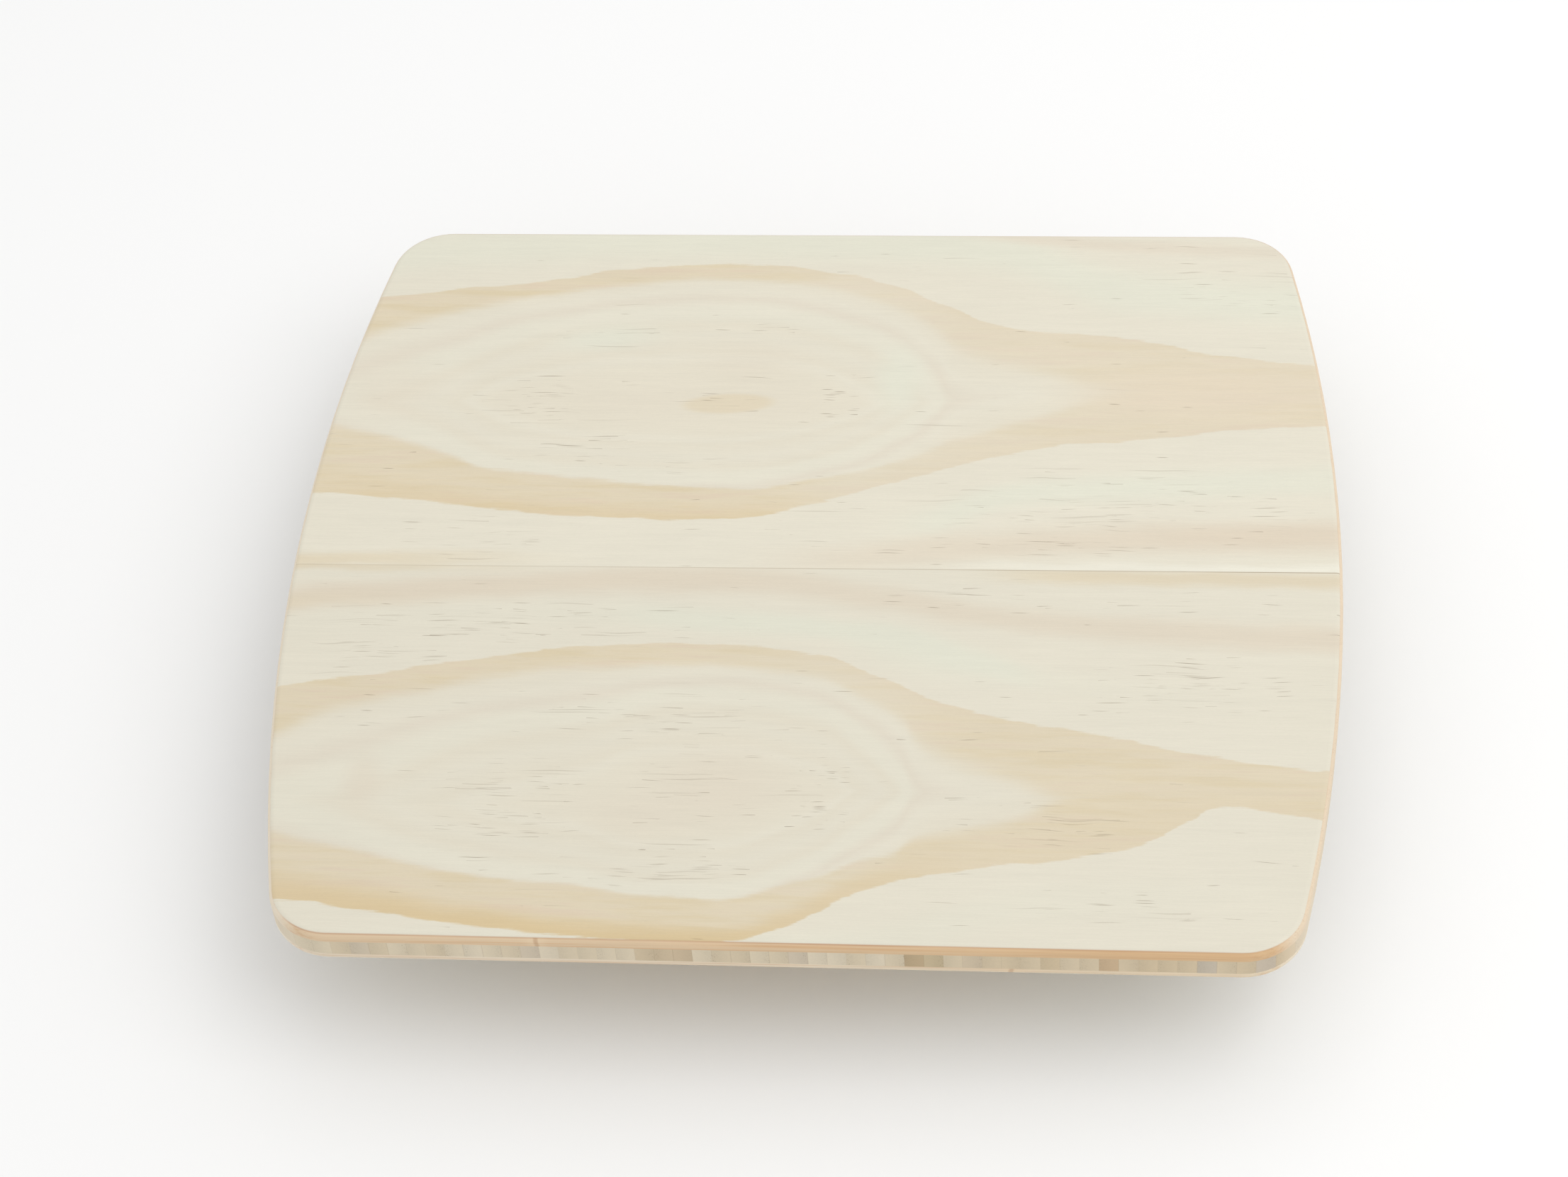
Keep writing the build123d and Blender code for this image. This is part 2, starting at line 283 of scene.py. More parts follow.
# ---------------------------------------------------------------- pine veneer
# The veneer is peeled from a log, so each leaf shows one hill of growth rings. A figure is drawn along X, in
# millimetres. "upper" and "lower" are the sharp outer edges of the hill's dark latewood. "ridge" runs
# between them, and "rise" is the ring number on it, so that closed rings end where it grows. The tan
# latewood starts at a ring number and has a strength along each side. A streak is the faint mark of another
# ring: a tone, a line, a half width and a strength along it. A patch is a soft oval: a tone, a middle, a half
# size, a slope, a softness and a strength. Ticks and dashes gather in ovals of a middle, a half size and a
# strength.
PALE = (231, 225, 207)
BRIGHT = (237, 233, 217)
COOL = (229, 228, 210)
PINK = (227, 217, 198)
TAN = (226, 213, 186)
DEEP_TAN = (221, 199, 157)
GOLD = (223, 208, 176)
DUSKY_PINK = (225, 209, 184)
SEAM_PINK = (225, 212, 191)
ROSY_TAN = (229, 215, 192)
FLECK = (122, 104, 82)
OPEN_SEAM = (150, 130, 102)
SANDED_RIM = (186, 144, 110)
BURNT = (86, 58, 38)
SCATTERED_FLECKS = 0.02  # the chance of a fleck anywhere, beside the gathered ones
REAR_LEAF_BRIGHTNESS, FRONT_LEAF_SHADED_BRIGHTNESS = 0.92, 0.895  # how much of the listed colours' brightness each leaf keeps; the front leaf keeps less, as painted shade that darkens the front of the top

REAR_FIGURE = {
    "upper": [(-254, 174), (-200, 184), (-150, 193), (-97, 202), (-50, 204), (0, 198), (30, 189), (60, 173),
              (100, 157), (150, 152), (199, 140), (254, 135)],
    "lower": [(-254, 40), (-200, 36), (-150, 29), (-111, 26), (-50, 26), (0, 37), (49, 56), (99, 73),
              (149, 80), (203, 88), (254, 93)],
    "ridge": [(-254, 104), (-50, 104), (64, 107), (148, 115), (254, 113)],
    "rise": [(-254, 0.66), (-197, 0.43), (-150, 0.14), (-97, 0.03), (-50, 0.0), (13, 0.22), (36, 0.42),
             (56, 0.64), (66, 0.74), (100, 0.80), (148, 0.90), (254, 0.94)],
    "starts_above": [(-254, 0.80), (-150, 0.89), (254, 0.88)],
    "starts_below": [(-254, 0.75), (-150, 0.70), (-50, 0.745), (30, 0.83), (80, 0.90), (254, 0.89)],
    "strong_above": [(-254, 1.0), (-60, 1.0), (-10, 0.6), (30, 0.45), (80, 0.62), (150, 0.60), (254, 0.68)],
    "strong_below": [(-254, 0.9), (-40, 1.0), (30, 0.48), (110, 0.60), (254, 0.78)],
    "deep": [(-254, 0.1), (-80, 0.45), (20, 0.1), (254, 0.0)],
    "streaks": [
        (COOL, [(-254, 206), (-100, 222), (60, 218), (150, 186), (254, 176)], 24,
         [(-254, 0.7), (254, 0.9)]),
        (PINK, [(-254, 240), (60, 229), (150, 219), (254, 214)], 8,
         [(-254, 0), (50, 0), (110, 0.8), (254, 0.6)]),
        (COOL, [(-254, 18), (30, 22), (100, 44), (254, 56)], 15,
         [(-254, 0), (20, 0), (80, 0.9), (254, 0.7)]),
        (SEAM_PINK, [(-254, -8), (0, 0), (30, 4), (80, 10), (150, 16), (254, 18)], 15,
         [(-254, 0), (-60, 0), (30, 0.55), (150, 0.8), (215, 1.0), (254, 1.0)]),
        (TAN, [(-254, -3), (254, -4)], 8, [(-254, 0.95), (-200, 0.7), (-150, 0.3), (-90, 0), (254, 0)]),
        (BRIGHT, [(-254, -4), (60, -4), (254, -1)], 5, [(-254, 0), (40, 0), (110, 0.7), (254, 1.0)]),
    ],
    "patches": [(TAN, (-49, 104), (27, 8), 0.06, 0.35, 0.85), (COOL, (-115, 150), (42, 14), 0.12, 0.9, 0.8),
                (COOL, (36, 122), (20, 36), 0.0, 0.9, 0.9), (PINK, (-40, 134), (46, 22), 0.0, 0.9, 0.35),
                (PINK, (-225, 112), (36, 40), 0.0, 0.9, 0.45),
                (ROSY_TAN, (190, 114), (92, 27), 0.0, 0.8, 0.7)],
    "ticks": [((8, 114), (17, 40), 1.0), ((-12, 92), (16, 16), 0.6), ((150, 112), (22, 32), 0.35)],
    "dashes": [((-142, 106), (44, 28), 1.0), ((-108, 152), (40, 10), 0.9), ((-122, 74), (32, 18), 0.8),
               ((-38, 157), (32, 7), 0.9), ((-54, 64), (40, 13), 0.9), ((150, 40), (125, 26), 0.9),
               ((-175, 14), (75, 17), 0.7), ((205, 188), (56, 26), 0.8), ((120, 10), (140, 10), 0.5),
               ((-60, 112), (60, 30), 0.35), ((160, 214), (90, 10), 0.4)],
}
FRONT_FIGURE = {
    "upper": [(-254, -86), (-200, -74), (-150, -64), (-97, -57), (-50, -53), (0, -58), (36, -72), (76, -92),
              (103, -100), (149, -108), (216, -122), (254, -124)],
    "lower": [(-254, -207), (-197, -214), (-150, -221), (-90, -226), (-31, -227), (0, -217), (43, -195),
              (99, -182), (156, -170), (183, -153), (199, -146), (219, -150), (254, -156)],
    "ridge": [(-254, -153), (-50, -150), (61, -140), (133, -142), (254, -138)],
    "rise": [(-254, 0.67), (-200, 0.52), (-150, 0.32), (-97, 0.17), (-50, 0.0), (3, 0.13), (29, 0.35),
             (49, 0.57), (62, 0.74), (100, 0.82), (133, 0.90), (254, 0.95)],
    "starts_above": [(-254, 0.80), (-150, 0.90), (-50, 0.86), (254, 0.89)],
    "starts_below": [(-254, 0.74), (-150, 0.72), (-50, 0.70), (30, 0.81), (80, 0.89), (254, 0.89)],
    "strong_above": [(-254, 1.0), (-60, 0.95), (0, 0.6), (30, 0.55), (80, 0.9), (150, 0.9), (254, 1.0)],
    "strong_below": [(-254, 0.9), (-40, 1.0), (30, 0.8), (110, 0.85), (254, 1.0)],
    "deep": [(-254, 0.8), (-40, 1.0), (60, 0.4), (120, 0.15), (254, 0.15)],
    "streaks": [
        (SEAM_PINK,
         [(-254, -30), (-150, -20), (-50, -14), (30, -22), (80, -33), (150, -41), (254, -47)], 13,
         [(-254, 0.8), (-50, 0.75), (30, 0.65), (254, 0.8)]),
        (COOL, [(-254, -48), (-100, -36), (-50, -38), (30, -46), (80, -62), (130, -76), (254, -86)], 12,
         [(-254, 0.1), (-110, 0.2), (-60, 0.8), (80, 0.9), (120, 0.2), (254, 0.0)]),
        (TAN, [(-254, -7), (80, -7), (150, -9), (254, -10)], 8.5,
         [(-254, 0), (60, 0), (130, 0.9), (254, 0.9)]),
        (TAN, [(-254, -8), (-120, -7), (254, -7)], 6, [(-254, 0.9), (-150, 0.3), (-110, 0), (254, 0)]),
        (TAN, [(-254, -34), (-150, -28), (254, -28)], 8, [(-254, 0.8), (-150, 0), (254, 0)]),
        (COOL, [(-254, -240), (40, -226), (110, -204), (254, -190)], 16,
         [(-254, 0.5), (40, 0.3), (254, 0.0)]),
    ],
    "patches": [(PINK, (-35, -138), (46, 34), 0.05, 0.9, 0.6),
                (PINK, (-200, -140), (14, 26), 0.0, 0.9, 0.6),
                (PINK, (-70, -160), (40, 20), -0.2, 0.9, 0.35),
                (COOL, (60, -60), (60, 20), -0.25, 0.9, 0.6)],
    "ticks": [((12, -143), (20, 42), 1.2), ((-20, -118), (24, 16), 0.5), ((100, -150), (40, 24), 0.25)],
    "dashes": [((-130, -42), (130, 17), 1.0), ((-132, -154), (38, 42), 1.0), ((-62, -98), (70, 22), 0.9),
               ((-56, -186), (52, 20), 1.1), ((187, -80), (70, 26), 0.9), ((-205, -62), (60, 12), 0.8),
               ((120, -155), (60, 26), 0.5), ((150, -205), (95, 16), 0.28), ((120, -24), (120, 12), 0.5),
               ((-40, -140), (60, 40), 0.3)],
}
FLECKS = [  # kind, a cell's length and height, how much of it the mark fills, the share, and how dark
    ("dashes", 36.0, 0.66, 0.28, 0.75, 0.95),
    ("dashes", 20.0, 0.60, 0.32, 0.70, 0.75),
    ("dashes", 56.0, 1.10, 0.40, 1.00, 0.30),
    ("ticks", 12.0, 0.66, 0.34, 0.80, 0.80),
]
RINGS = [(0.0, (229, 221, 202)), (0.26, (230, 223, 204)), (0.33, (231, 225, 207)), (0.38, (229, 222, 203)),
         (0.48, (230, 224, 206)), (0.56, (229, 222, 203)), (0.62, (231, 226, 208)), (0.68, (231, 226, 208)),
         (0.74, (228, 220, 202)), (0.80, (231, 225, 207)), (0.87, (230, 223, 204)), (1.0, (229, 219, 199))]


def soft_oval(n, middle, half, slope=0.0, soft=0.9):
    """1 in the middle of an oval in the deck's plane, falling to 0 at its rim."""
    aside = n.less(n.x, middle[0])
    level = n.less(n.less(n.y, middle[1]), n.times(aside, slope))
    across, up = n.math("DIVIDE", aside, half[0]), n.math("DIVIDE", level, half[1])
    away = n.math("SQRT", n.sum(n.times(across, across), n.times(up, up)))
    return n.invert(n.step(away, 1.0 - soft, 1.0))


def ring_figure(n, figure, seed):
    """The colour of the growth rings across one leaf of veneer."""
    drift = n.spread(n.noise((0.010, 0.028, 0.0), 2, seed=seed), -4.0, 4.0)
    waver = n.spread(n.noise((0.030, 0.07, 0.0), 2, seed=seed + 2), -2.4, 2.4)
    ragged = n.spread(n.noise((0.06, 0.7, 0.0), 4, 0.7, seed=seed + 3), -2.2, 2.2)
    y = n.sum(n.y, drift, waver, ragged)

    upper, lower, ridge, rise = (n.curve(n.x, figure[key]) for key in ("upper", "lower", "ridge", "rise"))
    from_ridge = n.less(y, ridge)
    above = n.math("DIVIDE", from_ridge, n.less(upper, ridge))
    below = n.math("DIVIDE", n.less(ridge, y), n.less(ridge, lower))
    ring = n.sum(rise, n.times(n.invert(rise), n.math("MAXIMUM", above, below)))
    colour = n.ramp(ring, RINGS)

    is_above = n.step(from_ridge, -8.0, 8.0)
    sides = []
    for side, soft in (("above", 0.035), ("below", 0.02)):
        start = n.curve(n.x, figure["starts_" + side])
        tan = n.step(n.less(ring, start), -soft, soft)
        sides.append(n.times(tan, n.curve(n.x, figure["strong_" + side])))
    strength = n.sum(n.times(is_above, sides[0]), n.times(n.invert(is_above), sides[1]))
    deep = n.times(n.step(ring, 0.84, 0.98), n.invert(is_above), n.curve(n.x, figure["deep"]))
    mottle = n.noise((0.012, 0.13, 0.0), 4, 0.65, seed=seed + 7)
    tan = n.mix(n.step(mottle, 0.46, 0.66), srgb(*TAN), srgb(*GOLD))
    tan = n.mix(n.invert(n.step(mottle, 0.34, 0.48)), tan, srgb(*DUSKY_PINK))
    colour = n.mix(strength, colour, n.mix(deep, tan, srgb(*DEEP_TAN)))

    inside = n.math("MINIMUM", n.less(upper, y), n.less(y, lower))
    within = n.step(inside, -0.6, 0.7)
    beyond = srgb(*PALE)
    for tone, line, half, strength in figure["streaks"]:
        away = n.math("DIVIDE", n.math("ABSOLUTE", n.less(y, n.curve(n.x, line))), half)
        strong = n.times(n.curve(n.x, strength), n.invert(n.step(away, 0.1, 1.0)))
        beyond = n.mix(strong, beyond, srgb(*tone))
    colour = n.mix(within, beyond, colour)
    for tone, middle, half, slope, soft, strong in figure["patches"]:
        colour = n.mix(n.times(soft_oval(n, middle, half, slope, soft), strong), colour, srgb(*tone))
    return colour


def resin_flecks(n, figure, seed):
    """Short dark marks along the grain, gathered where the knife cut through the resin canals."""
    likely = {}
    for kind in ("dashes", "ticks"):
        ovals = [n.times(soft_oval(n, middle, half), strong) for middle, half, strong in figure[kind]]
        likely[kind] = n.sum(SCATTERED_FLECKS, *ovals)
    bowed = n.spread(n.noise((0.02, 0.04, 0.0), 2, seed=seed + 19), -3.0, 3.0)
    total = None
    for kind, length, height, fill, share, dark in FLECKS:
        gathered = n.step(n.noise((0.025, 0.12, 0.0), 2, seed=seed + length), 0.40, 0.62)
        distance, chance = n.cells((1 / length, 1 / height, 0.0), seed + length, bowed)
        picked = n.math("LESS_THAN", chance, n.times(likely[kind], gathered, share))
        mark = n.times(picked, n.invert(n.step(distance, 0.3 * fill, fill)), dark)
        mark = n.times(mark, n.spread(n.random(chance), 0.2, 1.0))
        total = mark if total is None else n.math("MAXIMUM", total, mark)
    return total


def pine_veneer(name, figure, seed, top, brightness_with_shade):
    """One leaf of rotary-cut pine under a thin matt clear coat: rings, fibres, flecks, a sanded rim, and
    painted shade that darkens the front leaf.
    """
    n = Nodes(name)
    colour = ring_figure(n, figure, seed)
    fibre = n.noise((0.05, 1.2, 0.3), 5, 0.65, seed=seed + 11)
    broad_fibre = n.noise((0.012, 0.25, 0.1), 3, 0.6, seed=seed + 13)
    speck = n.noise((0.5, 1.9, 0.3), 2, 0.7, seed=seed + 17)
    cloud = n.noise((0.02, 0.03, 0.0), 2, seed=seed + 23)
    shade = n.sum(n.spread(fibre, 0.945, 1.055), n.spread(broad_fibre, -0.035, 0.035),
                  n.spread(speck, -0.035, 0.035), n.spread(cloud, -0.02, 0.02))
    # Painted shade: the front leaf's brightness factor is lower than the rear's, so the front of the top is
    # darker.
    colour = n.tint(colour, n.times(shade, brightness_with_shade))
    fleck = resin_flecks(n, figure, seed)
    colour = n.mix(fleck, colour, srgb(*FLECK))

    from_seam = n.math("ABSOLUTE", n.less(n.less(n.y, SEAM_Y), n.times(n.x, SEAM_SLOPE)))
    joint = n.invert(n.step(from_seam, 0.08, 0.40))
    gap = n.spread(n.noise((0.012, 0.0, 0.0), 2, seed=51.0), 0.1, 0.9)
    opened = n.times(gap, n.spread(n.step(n.x, *SEAM_OPENS), 0.5, 1.2))
    colour = n.mix(n.times(joint, opened), colour, srgb(*OPEN_SEAM))
    rim = n.step(n.less(top, n.z), 0.36, 0.58)
    uneven = n.spread(n.noise((0.015, 0.015, 0.0), 2, seed=seed + 29), 0.1, 0.9)
    colour = n.mix(n.times(rim, uneven, n.spread(n.facing_side(), 1.0, 0.1)), colour, srgb(*SANDED_RIM))

    roughness = n.spread(fibre, 0.42, 0.58)
    height = n.less(fibre, n.times(fleck, 0.8))
    return n.finish(colour, roughness, n.bump(height, 0.3, 0.06), WOOD_SPECULAR)


def back_veneer(name, bottom):
    """The plainer pine leaf under the deck, with the swivel scale burnt into it."""
    n = Nodes(name)
    colour = ring_figure(n, FRONT_FIGURE, 31.0)
    fibre = n.noise((0.03, 1.0, 0.3), 4, 0.65, seed=41.0)
    colour = n.tint(colour, n.spread(fibre, 0.86, 0.98))
    inside_rim = n.math("LESS_THAN", n.math("ABSOLUTE", n.y), FLAT_HALF_DEPTH)
    burnt = n.times(n.step(n.less(n.z, bottom), 0.10, 0.26), inside_rim)
    singed = n.noise((0.6, 0.6, 0.6), 2, seed=43.0)
    colour = n.mix(n.times(burnt, n.spread(singed, 0.8, 1.0)), colour, srgb(*BURNT))
    return n.finish(colour, n.spread(fibre, 0.5, 0.66), n.bump(fibre, 0.3, 0.06), WOOD_SPECULAR)


# ---------------------------------------------------------------- bamboo
GRAIN = {  # waves a millimetre along each axis, of the streaks and of the bundles
    "x": ((0.022, 1.0, 1.0), (0.012, 1.15, 1.15)),
    "y": ((1.0, 0.022, 1.0), (1.15, 0.012, 1.15)),
}


def bamboo_fibres(n, grain, seed):
    """Fine streaks along the grain, and the dark bundles that show as dots on end grain."""
    streaks, bundles = GRAIN[grain]
    streak = n.noise(streaks, 4, 0.65, seed=seed)
    distance, chance = n.cells(bundles, seed + 5)
    return streak, n.times(n.invert(n.step(distance, 0.12, 0.34)), n.step(chance, 0.25, 0.8))


def culm_marks(n, along, strip, pitch, seed):
    """The dark line and pale rim where each strip crosses a joint of the bamboo stem, as two strengths."""
    place = n.math("FRACT", n.sum(n.math("DIVIDE", along, pitch), n.random(strip, seed)))
    wander = n.spread(n.noise((0.05, 0.12, 0.12), 1, seed=seed + 3), -1.6, 1.6)
    away = n.math("ABSOLUTE", n.sum(n.times(n.less(place, 0.5), pitch), wander))
    return n.invert(n.step(away, 0.4, 1.6)), n.invert(n.step(away, 2.0, 7.0))


PLY_STREAK = (205, 162, 118)
PLY_CULM_RIM = (228, 206, 174)
PLY_CULM_LINE = (168, 122, 84)
PLY_BUNDLE = (156, 120, 84)
# A dark line at the ply's glue face: the glue line and, on the upper ply, painted shade of the rounded edge.
PLY_GLUE_AND_SHADE = (166, 112, 84)


def bamboo_ply(name, seed, tones, side, glue_at, glue_and_shade_strength):
    """A ply of bamboo strips that run across the deck: streaked along the front, dotted along the sides."""
    n = Nodes(name)
    streak, bundle = bamboo_fibres(n, "x", seed)
    strip = n.math("FLOOR", n.math("DIVIDE", n.y, PLY_STRIP))
    left, right = (srgb(*tone) for tone in tones)
    tone = n.mix(n.step(n.x, *PLY_BROWNS), left, right)
    tone = n.tint(tone, n.spread(n.random(strip, seed), 0.94, 1.04))
    long_streak = n.noise((0.008, 0.5, 0.8), 3, 0.6, seed=seed + 9)
    tone = n.mix(n.times(n.step(long_streak, 0.42, 0.70), 0.6), tone, srgb(*PLY_STREAK))
    tone = n.tint(tone, n.spread(streak, 0.86, 1.10))
    dark, rim = culm_marks(n, n.sum(n.x, CULM_SHIFT), strip, PLY_CULM, seed)
    tone = n.mix(n.times(rim, 0.35), tone, srgb(*PLY_CULM_RIM))
    tone = n.mix(n.times(dark, 0.40), tone, srgb(*PLY_CULM_LINE))
    facing_side = n.facing_side()
    paler = n.spread(n.step(n.x, *SIDE_DARKENS), 0.95, 0.65)
    tone = n.mix(n.times(facing_side, paler), tone, srgb(*side))
    tone = n.mix(n.times(bundle, n.spread(facing_side, 0.15, 0.28)), tone, srgb(*PLY_BUNDLE))
    uneven = n.spread(n.noise((0.012, 0.012, 0.6), 3, seed=seed + 15), -0.2, 1.0)
    # Glue line darkened further as painted shade of the rounded edge on the upper ply; weak along the lower
    # ply.
    glue_and_shade = n.invert(n.step(n.math("ABSOLUTE", n.less(n.z, glue_at)), 0.10, 0.50))
    glue_and_shade = n.times(glue_and_shade, n.math("MAXIMUM", uneven, 0.05), glue_and_shade_strength)
    tone = n.mix(n.times(glue_and_shade, n.spread(facing_side, 1.0, 0.2)), tone, srgb(*PLY_GLUE_AND_SHADE))
    height = n.less(streak, n.times(bundle, 0.4))
    return n.finish(tone, n.spread(streak, 0.48, 0.66), n.bump(height, 0.35, 0.08), WOOD_SPECULAR)


# Staves are counted rightwards from the middle one, which is 0.
STAVE_TONES = [(0.0, (214, 201, 176)), (0.30, (211, 197, 171)), (0.55, (216, 204, 181)),
               (0.75, (208, 193, 166)), (0.90, (204, 191, 170))]
NOTED_STAVES = [(-22, (202, 189, 167)), (-7, (203, 186, 157)), (-6, (201, 183, 154)), (-5, (200, 181, 152)),
                (7, (186, 165, 132)), (8, (194, 177, 145)), (17, (198, 173, 140)), (22, (194, 183, 165)),
                (25, (196, 183, 164))]
BROWNER_PAST_STAVE = 8
BROWNER_STAVE = (203, 184, 152)
STAVE_BUNDLE = (134, 112, 86)
STAVE_JOINT = (150, 126, 98)
STAVE_SIDE = (228, 212, 188)


def stave_core(name, seed):
    """Narrow staves glued side by side, each its own shade, with end grain at the front and rear."""
    n = Nodes(name)
    placed = n.sum(n.math("DIVIDE", n.x, STAVE_PITCH), 0.5)
    stave = n.math("FLOOR", placed)
    across = n.math("FRACT", placed)
    tone = n.ramp(n.random(stave, seed), STAVE_TONES, "CONSTANT")
    right = n.math("GREATER_THAN", stave, BROWNER_PAST_STAVE)
    tone = n.mix(n.times(right, n.spread(n.random(stave, seed + 6), 0.2, 1.0)), tone, srgb(*BROWNER_STAVE))
    for index, shade in NOTED_STAVES:
        tone = n.mix(n.math("COMPARE", stave, index, 0.5), tone, srgb(*shade))

    streak, bundle = bamboo_fibres(n, "y", seed)
    distance, chance = n.cells((1.5, 0.02, 1.5), seed + 8)
    fine_bundle = n.times(n.invert(n.step(distance, 0.10, 0.42)), n.step(chance, 0.3, 0.9))
    turned = n.math("LESS_THAN", n.random(stave, seed + 2), 0.5)
    rind = n.math("ABSOLUTE", n.less(turned, across))
    tone = n.tint(tone, n.spread(streak, 0.92, 1.06))
    tone = n.tint(tone, n.spread(n.step(rind, 0.0, 1.0), 1.03, 0.95))
    crowd = n.times(n.step(rind, 0.45, 1.0), n.spread(n.random(stave, seed + 4), 0.25, 1.0))
    tone = n.mix(n.times(n.math("MAXIMUM", bundle, fine_bundle), crowd, 0.75), tone, srgb(*STAVE_BUNDLE))
    from_joint = n.times(n.less(0.5, n.math("ABSOLUTE", n.less(across, 0.5))), STAVE_PITCH)
    opened = n.spread(n.random(n.math("ROUND", n.math("DIVIDE", n.x, STAVE_PITCH)), seed + 3), 0.0, 0.3)
    tone = n.mix(n.times(n.invert(n.step(from_joint, 0.05, 0.35)), opened), tone, srgb(*STAVE_JOINT))
    tone = n.mix(n.times(n.facing_side(), 0.4), tone, srgb(*STAVE_SIDE))
    height = n.less(streak, n.times(bundle, 0.5))
    return n.finish(tone, n.spread(streak, 0.5, 0.68), n.bump(height, 0.4, 0.08), WOOD_SPECULAR)


ROCKER_TONES = ((219, 190, 142), (205, 170, 120))
ROCKER_BUNDLE = (150, 112, 70)
ROCKER_CULM_RIM = (232, 208, 164)
ROCKER_CULM_LINE = (152, 104, 64)
ROCKER_JOINT = (140, 102, 66)


def laminated_bamboo(name, seed):
    """The rockers' own bamboo: strips side by side along the rocker, oiled."""
    n = Nodes(name)
    streak, bundle = bamboo_fibres(n, "x", seed)
    strip = n.math("FLOOR", n.math("DIVIDE", n.z, ROCKER_STRIP))
    layer = n.math("FLOOR", n.math("DIVIDE", n.y, ROCKER_LAYER))
    piece = n.sum(strip, n.times(layer, 17.0))
    pale, deep = (srgb(*tone) for tone in ROCKER_TONES)
    tone = n.mix(n.random(piece, seed), pale, deep)
    tone = n.tint(tone, n.spread(streak, 0.84, 1.12))
    tone = n.mix(n.times(bundle, 0.4), tone, srgb(*ROCKER_BUNDLE))
    dark, rim = culm_marks(n, n.x, piece, ROCKER_CULM, seed)
    tone = n.mix(n.times(rim, 0.25), tone, srgb(*ROCKER_CULM_RIM))
    tone = n.mix(n.times(dark, 0.45), tone, srgb(*ROCKER_CULM_LINE))
    joint = n.math("FRACT", n.math("DIVIDE", n.z, ROCKER_STRIP))
    from_joint = n.times(n.less(0.5, n.math("ABSOLUTE", n.less(joint, 0.5))), ROCKER_STRIP)
    tone = n.mix(n.times(n.invert(n.step(from_joint, 0.06, 0.30)), 0.5), tone, srgb(*ROCKER_JOINT))
    height = n.less(streak, n.times(bundle, 0.4))
    return n.finish(tone, n.spread(streak, 0.36, 0.52), n.bump(height, 0.3, 0.06), specular=0.45)


# ---------------------------------------------------------------- rubber, plastic and metal
def rubber(name, seed, rolls=False):
    """Moulded black rubber with a fine grain, greyer where a tread has rolled on the floor."""
    n = Nodes(name)
    grain = n.noise((2.2, 2.2, 2.2), 3, 0.7, seed=seed)
    blotch = n.noise((0.06, 0.06, 0.06), 3, seed=seed + 3)
    colour = n.mix(blotch, srgb(36, 36, 38), srgb(47, 47, 48))
    roughness = n.spread(grain, 0.62, 0.86)
    if rolls:
        drop = n.less(ROLLING_RADIUS, n.z)
        radius = n.math("SQRT", n.sum(n.times(n.x, n.x), n.times(drop, drop)))
        outer_face = n.step(radius, ROLLING_RADIUS - 0.5, ROLLING_RADIUS)
        rubbed = n.times(outer_face, n.step(blotch, 0.3, 0.7))
        colour = n.mix(n.times(rubbed, 0.6), colour, srgb(92, 90, 87))
    return n.finish(colour, roughness, n.bump(grain, 0.5, 0.12), specular=0.35)


def metal(name, colour, rough, seed, grain=(3.0, 3.0, 0.15)):
    """Turned or plated metal: tool lines, a little staining and uneven gloss."""
    n = Nodes(name)
    lines = n.noise(grain, 3, 0.6, seed=seed)
    blotch = n.noise((0.25, 0.25, 0.25), 3, seed=seed + 5)
    tone = n.tint(srgb(*colour), n.spread(blotch, 0.88, 1.06))
    roughness = n.sum(n.spread(lines, rough - 0.07, rough + 0.07), n.spread(blotch, -0.05, 0.08))
    n.shader.inputs["Metallic"].default_value = 1.0
    return n.finish(tone, roughness, n.bump(lines, 0.3, 0.02))


def waxy_plastic(name, seed):
    """Milky low-friction plastic with faint turning marks and scuffs."""
    n = Nodes(name)
    scuff = n.noise((0.8, 0.8, 0.8), 4, 0.7, seed=seed)
    blotch = n.noise((0.12, 0.12, 0.12), 2, seed=seed + 2)
    colour = n.mix(n.step(scuff, 0.55, 0.8), srgb(233, 233, 228), srgb(214, 213, 205))
    colour = n.tint(colour, n.spread(blotch, 0.96, 1.02))
    n.shader.inputs["Subsurface Weight"].default_value = 0.08
    return n.finish(colour, n.spread(scuff, 0.34, 0.55), n.bump(scuff, 0.25, 0.04))


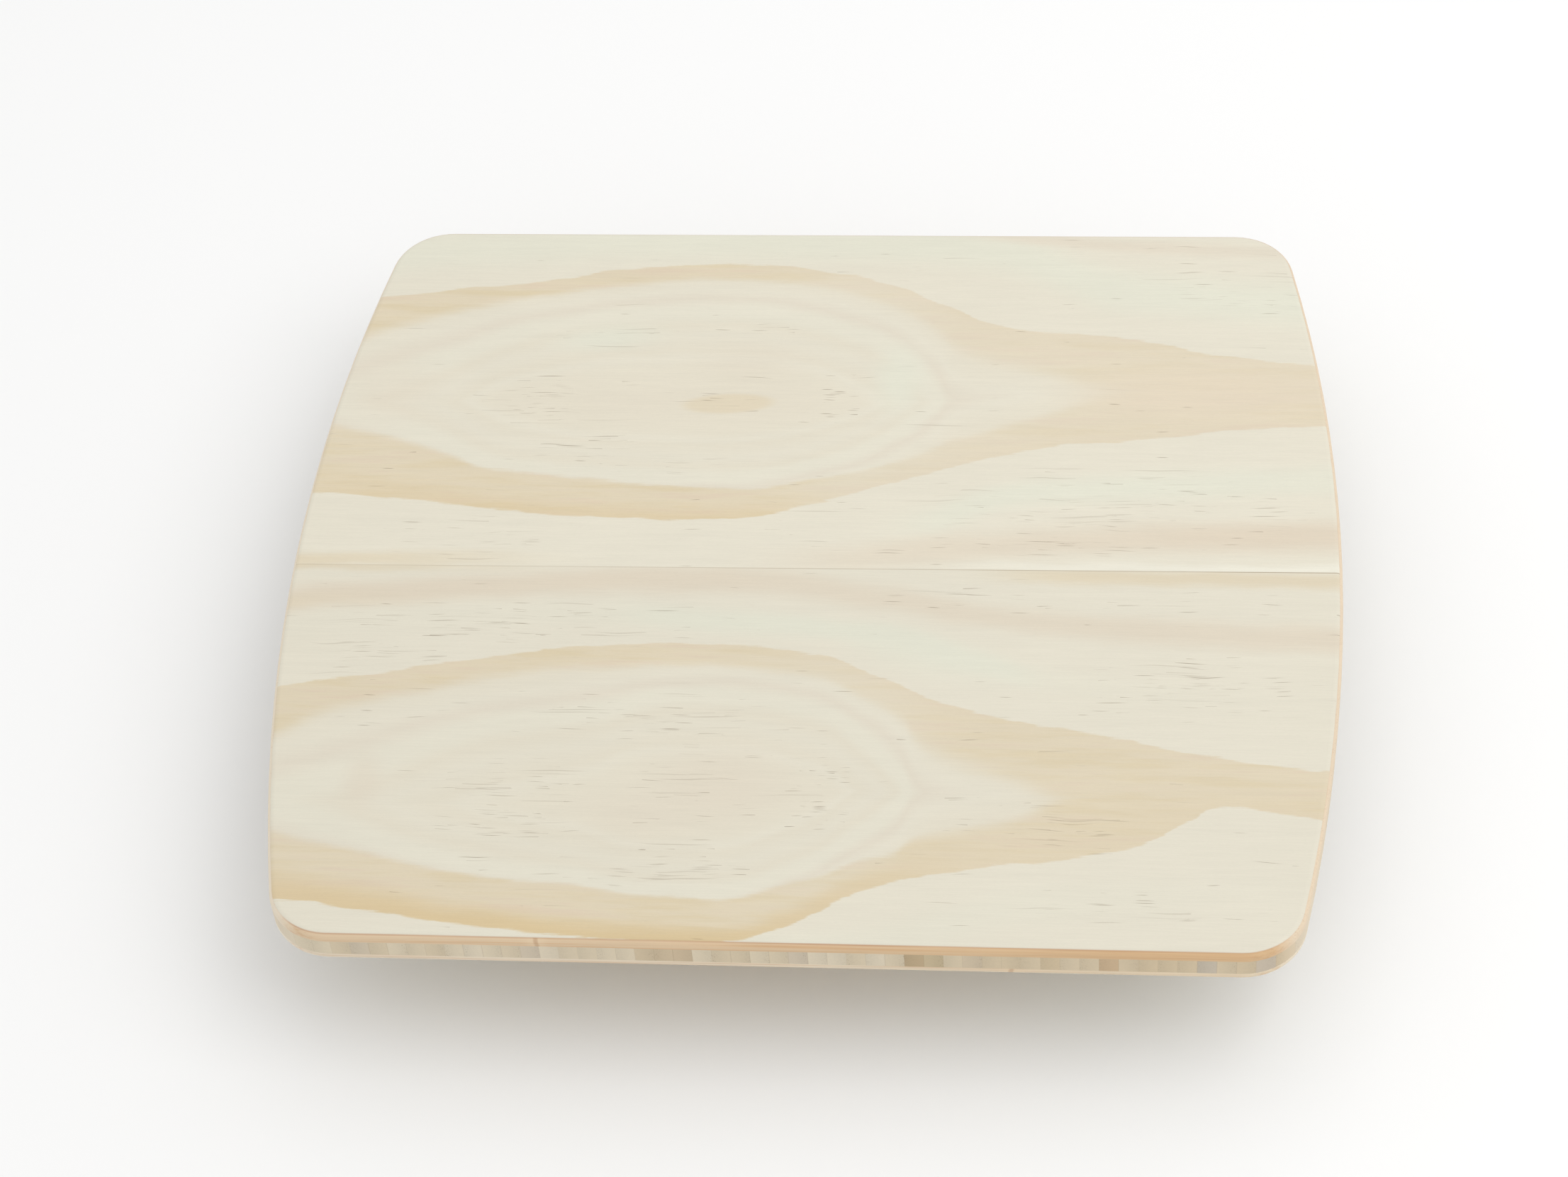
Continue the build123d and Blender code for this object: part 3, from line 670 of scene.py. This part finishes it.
def make_materials():
    """One material for each material slot of the record, and one for each leaf of face veneer."""
    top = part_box("face_veneer_front_leaf")[1].z * MM
    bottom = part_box("back_veneer")[0].z * MM
    upper_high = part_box("upper_bamboo_ply")[1].z * MM
    lower_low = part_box("lower_bamboo_ply")[0].z * MM
    by_slot = {
        "pine_back": back_veneer("back_pine", bottom),
        "bamboo_core": stave_core("stave_bamboo", 5.0),
        "laminated_bamboo": laminated_bamboo("rocker_bamboo", 8.0),
        "tread_rubber": rubber("tread_rubber", 2.0, rolls=True),
        "bumper_rubber": rubber("bumper_rubber", 6.0),
        "black_steel": metal("black_oxide_steel", (48, 48, 51), 0.42, 3.0),
        "zinc_steel": metal("zinc_plated_steel", (198, 201, 206), 0.30, 4.0, (0.9, 0.9, 0.9)),
        "spring_steel": metal("spring_steel", (112, 108, 106), 0.38, 5.0),
        "peg_steel": metal("ground_steel", (190, 192, 196), 0.26, 6.0, (0.2, 0.2, 5.0)),
        "insert_brass": metal("turned_brass", (206, 170, 104), 0.30, 7.0),
        "bushing_bronze": metal("sintered_bronze", (176, 128, 82), 0.48, 8.0, (3.0, 3.0, 3.0)),
        "white_uhmw": waxy_plastic("glide_plastic", 9.0),
    }
    by_node = {
        "face_veneer_rear_leaf": pine_veneer("rear_leaf_pine", REAR_FIGURE, 4.0, top, REAR_LEAF_BRIGHTNESS),
        "face_veneer_front_leaf": pine_veneer("front_leaf_pine", FRONT_FIGURE, 9.0, top, FRONT_LEAF_SHADED_BRIGHTNESS),
        "upper_bamboo_ply": bamboo_ply(
            "upper_ply_bamboo", 3.0, ((220, 196, 164), (214, 180, 138)), (231, 219, 198), upper_high, 0.9),
        "lower_bamboo_ply": bamboo_ply(
            "lower_ply_bamboo", 7.0, ((234, 220, 198), (234, 217, 189)), (236, 226, 208), lower_low, 0.25),
    }
    return by_slot, by_node


aim_camera()
build_studio()

by_slot, by_node = make_materials()
for part in frame["record"]["subparts"]:
    name = part["node"]
    slots = frame["nodes"][name].data.materials
    slots.clear()
    slots.append(by_node.get(name) or by_slot[part["material_slot"]])
